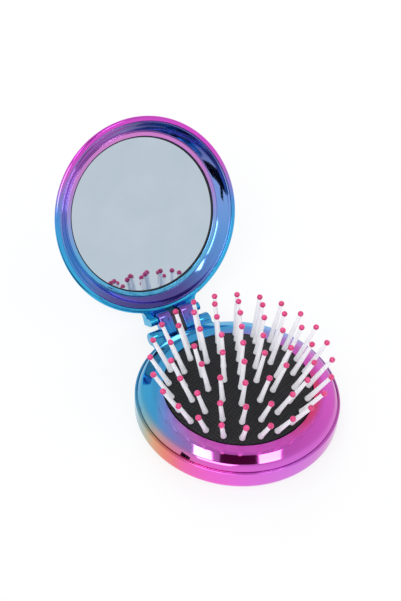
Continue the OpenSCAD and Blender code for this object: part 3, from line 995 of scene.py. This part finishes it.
def make_middle_knuckle():
    """The lid's middle knuckle, in dark ABS: painted shade for the black slot between the arms."""
    y, z = CLOSED_PIVOT
    half = SLOT_W / 2 - SIDE_CLEAR
    knuckle = bar("lid_middle_knuckle", KNUCKLE_R, -half, half, y, z)
    stem_top = (half, y + KNUCKLE_R - 0.01, LIP_Z + 0.6)
    stem = block("knuckle_stem", (-half, y - KNUCKLE_R, z), stem_top)
    combine(knuckle, stem, "UNION")
    soften(knuckle, 0.2, 3)
    settle(knuckle, AT_LID)
    smooth(knuckle, 35)
    return dress(knuckle, inner_abs, "lid_metallised", "lid", "lid_shell")


def make_mirror_frame():
    corners = [(FRAME_R, LIP_ROUND, 0), (FRAME_R, 0.3, 0.1), (FRAME_R - 0.5, 0.3, 0.15)]
    run, rise = DISH_R - FRAME_R + 0.5, DISH_H - 0.3
    for i in range(1, 9):
        t = i / 9
        sag = 0.25 * sin(pi * t) / hypot(run, rise)
        corners.append((FRAME_R - 0.5 + run * t + sag * rise, 0.3 + rise * t - sag * run, 0))
    corners += [
        (DISH_R, DISH_H, 0.15), (DISH_R - 0.3, RING_H, 0.25), (MIRROR_R, RING_H, 0.3),
        (MIRROR_R, GLASS_H, 0), (GLASS_R + 0.1, GLASS_H, 0), (GLASS_R + 0.1, GLASS_H + 1.1, 0),
        (DISH_R + 0.6, GLASS_H + 1.1, 0), (DISH_R + 0.8, DISH_H + 0.6, 0),
    ]
    path = [(r, z + LIP_Z) for r, z in rounded(corners)]
    piece = turned("mirror_frame_ring", path, AT_LID, 192)
    smooth(piece, 35)
    return dress(piece, frame_plating, "lid_metallised", "lid", "mirror_frame")


def make_mirror():
    z = LIP_Z + GLASS_H
    path = [(0.01, z), (GLASS_R - 0.25, z), (GLASS_R, z + 0.25), (GLASS_R, z + GLASS_T)]
    path.append((0.01, z + GLASS_T))
    glass = turned("mirror_disc", path, AT_LID, 160, closed=False)
    smooth(glass, 25)
    dress(glass, silver, "mirror_silver", "lid", "mirror_glass")
    seal = rounded([
        (MIRROR_R - 0.46, z, 0), (MIRROR_R - 0.46, z - 0.45, 0.15),
        (MIRROR_R - 0.01, z - 0.45, 0.1), (MIRROR_R - 0.01, z, 0),
    ])
    gasket = turned("mirror_gasket_ring", seal, AT_LID, 160)
    smooth(gasket)
    dress(gasket, gasket_rubber, "gasket_black", "lid", "mirror_gasket")


make_base_shell()
make_bezel()
make_pad()
make_button()
make_pins()
make_link()
make_lid_shell()
make_middle_knuckle()
make_mirror_frame()
make_mirror()

for node, material in (
    ("pad_clamp_ring", inner_abs), ("base_hinge_pin", steel), ("lid_hinge_pin", steel),
    ("mirror_foam", foam_tape), ("mirror_tray", inner_abs),
):
    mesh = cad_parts[node].data
    mesh.materials.clear()
    mesh.materials.append(material)

# ---- Floor, light and camera ----


def make_floor():
    nothing_selected()
    bpy.ops.mesh.primitive_plane_add(size=6, location=(0, 0, -0.02 * MM))
    floor = bpy.context.object
    floor.name = "pale_floor"
    material, tree = new_material("pale_floor")
    path = add(tree, "ShaderNodeLightPath")
    seen = calc(tree, "MAXIMUM", path.outputs["Is Camera Ray"], path.outputs["Is Glossy Ray"])
    paper = add(tree, "ShaderNodeBsdfDiffuse", {"Color": linear("#f4f4f5")})
    white = add(tree, "ShaderNodeEmission", {"Color": (1, 1, 1, 1), "Strength": 1.0})
    share = calc(tree, "MULTIPLY", seen, 0.8)
    both = add(
        tree, "ShaderNodeMixShader", {0: share, 1: paper.outputs[0], 2: white.outputs[0]}
    )
    finish_material(tree, both)
    floor.data.materials.append(material)


def make_world():
    """A white tent: white to the camera, a little darker overhead to reflections and light."""
    world = bpy.data.worlds.new("white_tent")
    bpy.context.scene.world = world
    world.use_nodes = True
    tree = world.node_tree
    tree.nodes.clear()
    direction = add(tree, "ShaderNodeTexCoord").outputs["Generated"]
    height = add(tree, "ShaderNodeSeparateXYZ", {0: direction}).outputs[2]
    tone = ramp(tree, height, -0.2, 1.0, {
        -0.2: "#fafafa", 0.3: "#f4f5f7", 0.55: "#edeff2", 0.8: "#dee0e5", 1.0: "#c2c6ce",
    })
    light = add(tree, "ShaderNodeBackground", {"Color": tone, "Strength": 1.0})
    white = add(tree, "ShaderNodeBackground", {"Color": (1, 1, 1, 1), "Strength": 1.0})
    path = add(tree, "ShaderNodeLightPath")
    seen = path.outputs["Is Camera Ray"]
    both = add(tree, "ShaderNodeMixShader", {0: seen, 1: light.outputs[0], 2: white.outputs[0]})
    add(tree, "ShaderNodeOutputWorld", {"Surface": both.outputs[0]})


def aim(obj, target):
    obj.rotation_euler = (Vector(target) - obj.location).to_track_quat("-Z", "Y").to_euler()


def softbox(name, location, target, width, depth, power):
    nothing_selected()
    bpy.ops.object.light_add(type="AREA", location=location)
    lamp = bpy.context.object
    lamp.name = name
    lamp.data.shape = "RECTANGLE"
    lamp.data.size, lamp.data.size_y = width, depth
    lamp.data.energy = power
    aim(lamp, target)
    return lamp


def reflected_card(name, colour, strength, corners):
    """A card that only reflections see, through its corners in mm."""
    nothing_selected()
    bpy.ops.mesh.primitive_circle_add(vertices=len(corners), radius=1, fill_type="NGON")
    card = bpy.context.object
    card.name = card.data.name = name
    for vertex, (x, y, z) in zip(card.data.vertices, corners):
        vertex.co = (x * MM, y * MM, z * MM)
    material, tree = new_material(name)
    glow = add(tree, "ShaderNodeEmission", {"Color": linear(colour), "Strength": strength})
    finish_material(tree, glow)
    card.data.materials.append(material)
    card.visible_camera = card.visible_diffuse = card.visible_shadow = False
    card.visible_transmission = card.visible_volume_scatter = False


def make_lights():
    softbox("key_softbox", (-0.9, -0.7, 1.3), (0, 0, 0.02), 0.9, 0.9, 9)
    back = softbox("back_softbox", (0.3, 1.0, 1.0), (0, 0, 0.03), 0.8, 0.5, 5)
    back.visible_glossy = False
    # Two white cards and a dark one between them give the highlights on the bezel's front
    reflected_card("white_card_left", "#ffffff", 6.0, [
        (-106, 14, 598), (-176, -100, 598), (-250, -6, 598), (-164, 100, 598)])
    reflected_card("white_card_right", "#ffffff", 6.0, [
        (101, -131, 598), (57, -243, 598), (193, -267, 598), (243, -144, 598)])
    reflected_card("black_card_over_bezel", "#4a2038", 1.0, [
        (-53, -3, 602), (-168, -151, 602), (-86, -207, 602), (34, -267, 602), (108, -95, 602),
        (14, -57, 602)])
    # Black cards round the brush draw the dark parts of the dish
    reflected_card("black_card_behind_base", "#0c0a14", 1.0, [
        (-4, 10, 0.3), (23, 10, 0.3), (23, 38, 0.3), (-4, 38, 0.3)])
    reflected_card("black_card_on_floor", "#0c0a14", 1.0, [
        (-420, -200, 0.5), (-55, -200, 0.5), (-55, 20, 0.5), (-420, 20, 0.5)])
    reflected_card("black_card_at_left", "#0c0a14", 1.0, [
        (-420, -150, 0), (-420, -75, 0), (-420, -75, 100), (-420, -150, 100)])


# Fitted to the photograph's view
CAMERA_PLACE = (-0.20610625, -0.31389059, 0.39749564)
CAMERA_TURN = (45.55576, -3.13976, -30.11508)
CAMERA_LENS = 89.85
CAMERA_SENSOR_W = 36


def make_camera():
    nothing_selected()
    bpy.ops.object.camera_add(
        location=CAMERA_PLACE, rotation=[radians(angle) for angle in CAMERA_TURN]
    )
    camera = bpy.context.object
    camera.data.sensor_width = CAMERA_SENSOR_W
    camera.data.lens = CAMERA_LENS
    bpy.context.scene.camera = camera


make_floor()
make_world()
make_lights()
make_camera()

bpy.context.scene.view_settings.view_transform = "Standard"
